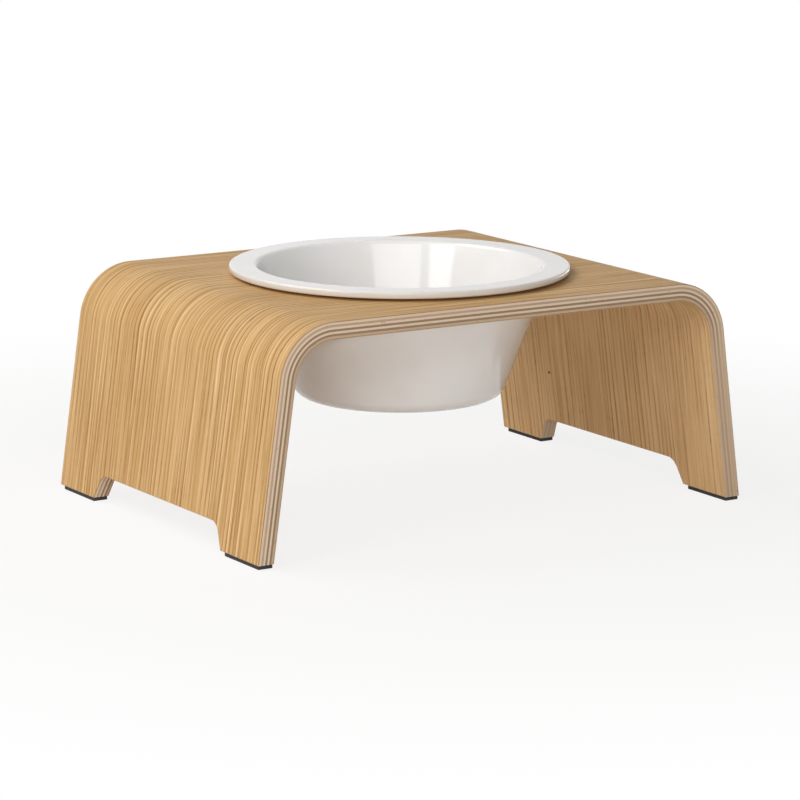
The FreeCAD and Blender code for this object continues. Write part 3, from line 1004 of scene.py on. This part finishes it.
@dataclass
class Bowl:
    """Turned and glazed bowl with a flat rim."""

    body: str = "bowl"
    node: str = "bowl"
    slot: str = "glazed_bowl"
    rim_edge: float = 4.2 * MM
    rim_round: float = 1.5 * MM
    rim_draft: float = radians(8.0)
    neck_radius: float = 96.5 * MM
    neck_round: float = 3.0 * MM
    base_radius: float = 66.5 * MM
    base_round: float = 11.0 * MM
    wall: float = 6.2 * MM
    floor: float = 6.2 * MM
    lip_round: float = 3.5 * MM
    inner_round: float = 16.0 * MM
    recess_radius: float = 46.0 * MM
    recess_depth: float = 1.0 * MM
    recess_round: float = 0.4 * MM
    guard: float = 0.15 * MM
    arc_steps: int = 18
    segments: int = 288
    weld: float = 0.002 * MM
    crisp_angle: float = radians(30.0)
    base_level: float = field(init=False)
    height: float = field(init=False)
    rim_radius: float = field(init=False)
    wheel: PottersWheel = field(init=False)

    def __post_init__(self) -> None:
        """Takes the rim and the levels from the frame."""
        low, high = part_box(self.node)
        self.base_level = low.z
        self.height = high.z - low.z
        self.rim_radius = high.x
        self.wheel = PottersWheel()

    def corners(self) -> list[tuple[Vector, float]]:
        """Corners of the half section, from under the floor round to inside it.

        Returns:
            Radius and height of each corner, with its rounding.
        """
        underside = self.height - self.rim_edge
        neck_height = underside - (self.rim_radius - self.neck_radius) * tan(self.rim_draft)
        taper = (self.neck_radius - self.base_radius) / neck_height
        inside = self.base_radius - self.wall * hypot(1, taper)
        corners = [
            (0, self.recess_depth, 0.0),
            (self.recess_radius, self.recess_depth, self.recess_round),
            (self.recess_radius, 0, self.recess_round),
            (self.base_radius, 0, self.base_round),
            (self.neck_radius, neck_height, self.neck_round),
            (self.rim_radius, underside, self.rim_round),
            (self.rim_radius, self.height, self.rim_round),
            (inside + taper * self.height, self.height, self.lip_round),
            (inside + taper * self.floor, self.floor, self.inner_round),
            (0, self.floor, 0.0),
        ]
        return [(Vector((radius, height)), rounding) for radius, height, rounding in corners]

    def profile(self) -> list[Vector]:
        """Half section with its corners rounded.

        Returns:
            Points, each a radius and a height, with a guard point on the straight beside each rounding.
        """
        corners = self.corners()
        points = [corners[0][0]]
        for (before, _), (corner, radius), (after, _) in zip(corners, corners[1:], corners[2:]):
            back = (before - corner).normalized()
            ahead = (after - corner).normalized()
            opening = back.angle(ahead)
            first = corner + back * (radius / tan(opening / 2))
            last = corner + ahead * (radius / tan(opening / 2))
            centre = corner + (back + ahead).normalized() * (radius / sin(opening / 2))
            points.append(first + back * self.guard)
            start = first - centre
            turn = start.angle_signed(last - centre)
            for step in range(self.arc_steps + 1):
                share = step / self.arc_steps
                points.append(centre + Matrix.Rotation(-turn * share, 2) @ start)
            points.append(last + ahead * self.guard)
        points.append(corners[-1][0])
        return points

    def build(self) -> list[Object]:
        """Turns the bowl and glazes it.

        Returns:
            The one piece.
        """
        points = [(point.x, 0.0, self.base_level + point.y) for point in self.profile()]
        mesh = bpy.data.meshes.new(self.node)
        mesh.from_pydata(points, [(i, i + 1) for i in range(len(points) - 1)], [])
        piece = new_object("bowl_glazed", mesh)
        glaze = GlazeFinish("white_gloss_glaze", self.base_level, self.rim_radius).build()
        self.wheel.apply(piece, {"Segments": self.segments, "Weld Distance": self.weld, "Material": glaze})
        self.face_outwards(piece.data)
        smooth_but_crisp(piece.data, self.crisp_angle)
        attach(piece, self.body)
        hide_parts(self.node)
        return [piece]

    @staticmethod
    def face_outwards(mesh: Mesh) -> None:
        """Turns all faces of a closed shell outwards.

        Args:
            mesh: The shell.
        """
        shell = bmesh.new()
        shell.from_mesh(mesh)
        bmesh.ops.recalc_face_normals(shell, faces=shell.faces)
        shell.to_mesh(mesh)
        shell.free()


@dataclass
class Feet:
    """Four rubber pads and the adhesive films that hold them."""

    body: str = "stand"
    slot: str = "foot_pad"
    corner_radius: float = 0.6 * MM
    corner_steps: int = 5
    arris: float = 0.25 * MM
    arris_steps: int = 3
    swell: float = 0.08 * MM
    crisp_angle: float = radians(35.0)
    places: tuple[str, ...] = ("front_left", "front_right", "back_left", "back_right")

    def outline(self, low: Vector, high: Vector, inset: float, height: float) -> Loop:
        """Rectangle with rounded corners, turning left.

        Args:
            low: Lowest corner of the pad's box.
            high: Highest corner of the pad's box.
            inset: How far the outline is set in.
            height: The outline's height.

        Returns:
            The outline's points.
        """
        radius = self.corner_radius
        reach = radius - inset
        centres = [(high.x - radius, high.y - radius), (low.x + radius, high.y - radius),
                   (low.x + radius, low.y + radius), (high.x - radius, low.y + radius)]
        points = []
        for quarter, (x, y) in enumerate(centres):
            start = QUARTER_TURN * quarter
            points += arc(x, y, reach, start, start + QUARTER_TURN, self.corner_steps)
        return [Vector((x, y, height)) for x, y in points]

    def pad_levels(self, low: Vector, high: Vector) -> list[Loop]:
        """Outlines of one pad from its top down, with eased arrises and sides that swell a little.

        Args:
            low: Lowest corner of the pad's box.
            high: Highest corner of the pad's box.

        Returns:
            The outlines.
        """
        rise = quarter_round(self.arris, self.arris_steps)
        levels = [(high.z - level.depth, self.swell + level.inset) for level in rise]
        levels.append(((low.z + high.z) / 2, 0.0))
        levels += [(low.z + level.depth, self.swell + level.inset) for level in reversed(rise)]
        return [self.outline(low, high, inset, height) for height, inset in levels]

    def build(self) -> list[Object]:
        """Makes the pads and dresses the films.

        Returns:
            The pads, then the films.
        """
        rubber = CHARCOAL_RUBBER.build()
        film_finish = ADHESIVE_FILM.build()
        pads = []
        films = []
        for place in self.places:
            node = f"foot_pad_{place}"
            levels = self.pad_levels(*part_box(node))
            mesh = stack_mesh(node, [[loop] for loop in levels], [list(range(len(levels[0])))])
            mesh.materials.append(rubber)
            pad = new_object(f"{node}_eased", mesh)
            smooth_but_crisp(mesh, self.crisp_angle)
            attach(pad, self.body)
            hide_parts(node)
            pads.append(pad)
            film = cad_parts[f"foot_adhesive_{place}"]
            film.data.materials.clear()
            film.data.materials.append(film_finish)
            films.append(film)
        return pads + films


def direction(azimuth: float, elevation: float) -> Vector:
    """Unit vector to a place around the object, by degrees right of the front and above the horizon."""
    turn, rise = radians(azimuth), radians(elevation)
    return Vector((sin(turn) * cos(rise), -cos(turn) * cos(rise), sin(rise)))


@dataclass(frozen=True)
class Softbox:
    """Flat soft lamp that faces the object."""

    name: str
    azimuth: float
    elevation: float
    distance: float
    width: float
    height: float
    radiance: float
    aim: tuple[float, float, float] = (0.0, 0.0, 0.08)

    def build(self) -> None:
        """Makes the lamp."""
        lamp = bpy.data.lights.new(self.name, "AREA")
        lamp.shape = "RECTANGLE"
        lamp.size = self.width
        lamp.size_y = self.height
        lamp.energy = self.radiance * pi * self.width * self.height
        made = new_object(self.name, lamp)
        away = direction(self.azimuth, self.elevation)
        made.location = Vector(self.aim) + away * self.distance
        made.rotation_euler = (-away).to_track_quat("-Z", "Y").to_euler()


@dataclass
class Studio:
    """Pale floor, white surroundings, softboxes and the camera."""

    floor_half: float = 30.0
    floor_level: float = -0.02 * MM
    floor_colour: Colour = (0.84, 0.80, 0.76, 1.0)
    seen_white_share: float = 0.84
    shadow_fade: Span = (0.25, 0.7)
    seeing_rays: tuple[str, ...] = ("Is Camera Ray", "Is Glossy Ray", "Is Transmission Ray")
    sky_level: float = 0.12
    yaw: float = -32.452
    pitch: float = 11.645
    roll: float = radians(0.294)
    focal_pixels: float = 3681.9
    camera_distance: float = 2.3926
    sensor_width: float = 36.0
    clip: Span = (0.05, 100.0)
    target: tuple[float, float, float] = (0.82 * MM, -0.14 * MM, 62.3 * MM)
    softboxes: tuple[Softbox, ...] = (
        Softbox("front_softbox", -30.0, 30.0, 1.8, 1.24, 0.42, 3.5),
        Softbox("left_softbox", -73.0, 30.0, 1.5, 0.5, 0.9, 4.0),
        Softbox("back_left_softbox", -130.0, 50.0, 1.4, 1.0, 0.8, 3.9),
        Softbox("low_softbox", -25.0, 8.0, 2.2, 1.6, 0.5, 5.1),
        Softbox("right_fill", 90.0, 0.0, 1.3, 1.6, 0.12, 7.0),
    )

    def seen_ray(self, graph: NodeGraph) -> Value:
        """Number that is 1 for camera, mirror and glass rays, and 0 for soft light."""
        rays = graph.node("ShaderNodeLightPath").outputs
        return sum(Value(graph, rays[name]) for name in self.seeing_rays).math("MINIMUM", 1.0)

    def build_floor(self) -> None:
        """Makes the floor, which is seen nearly white and keeps the object's shadow."""
        signs = ((-1, -1), (1, -1), (1, 1), (-1, 1))
        corners = [(x * self.floor_half, y * self.floor_half, self.floor_level) for x, y in signs]
        mesh = bpy.data.meshes.new("floor")
        mesh.from_pydata(corners, [], [(0, 1, 2, 3)])
        material = bpy.data.materials.new("pale_floor")
        graph = NodeGraph.emptied(material)
        matt = graph.node("ShaderNodeBsdfDiffuse", inputs={"Color": self.floor_colour})
        white = graph.node("ShaderNodeEmission", inputs={"Color": WHITE, "Strength": 1.0})
        length = graph.node("ShaderNodeVectorMath", {"operation": "LENGTH"}, {0: graph.object_place()})
        away = Value(graph, length.outputs["Value"])
        share = self.seen_white_share + away.smooth_step(*self.shadow_fade) * (1 - self.seen_white_share)
        both = graph.node("ShaderNodeMixShader", inputs={
            0: self.seen_ray(graph) * share, 1: matt.outputs[0], 2: white.outputs[0]})
        graph.node("ShaderNodeOutputMaterial", inputs={"Surface": both.outputs[0]})
        mesh.materials.append(material)
        floor = new_object("floor", mesh)

    def build_sky(self) -> None:
        """Makes the white surroundings, dimmer as a source of light than as seen."""
        world = bpy.data.worlds.new("white_surroundings")
        graph = NodeGraph.emptied(world)
        level = self.seen_ray(graph) * (1.0 - self.sky_level) + self.sky_level
        sky = graph.node("ShaderNodeBackground", inputs={"Color": WHITE, "Strength": level})
        graph.node("ShaderNodeOutputWorld", inputs={"Surface": sky.outputs[0]})
        bpy.context.scene.world = world

    def build_camera(self) -> None:
        """Makes the camera at the photograph's viewing angle."""
        data = bpy.data.cameras.new("camera")
        data.sensor_width = self.sensor_width
        data.lens = self.focal_pixels / IMAGE_PIXELS * self.sensor_width
        data.clip_start, data.clip_end = self.clip
        camera = new_object("camera", data)
        away = direction(self.yaw, self.pitch)
        tilt = Matrix.Rotation(self.roll, 4, away)
        facing = tilt @ (-away).to_track_quat("-Z", "Y").to_matrix().to_4x4()
        camera.matrix_world = Matrix.Translation(Vector(self.target) + away * self.camera_distance) @ facing
        bpy.context.scene.camera = camera

    def build(self) -> None:
        """Makes the floor, the surroundings, the lamps and the camera."""
        self.build_floor()
        self.build_sky()
        for softbox in self.softboxes:
            softbox.build()
        self.build_camera()
        bpy.context.scene.view_settings.view_transform = "Standard"


def main() -> None:
    """Builds the stand, the bowl, the feet and the studio, and reports each piece."""
    logging.basicConfig(level=logging.INFO, format="%(name)s: %(message)s")
    for assembly in (Stand(), Bowl(), Feet()):
        for piece in assembly.build():
            log.info("%s: %d faces on body %s", piece.name, len(piece.data.polygons), assembly.body)
    Studio().build()


if __name__ == "__main__":
    main()
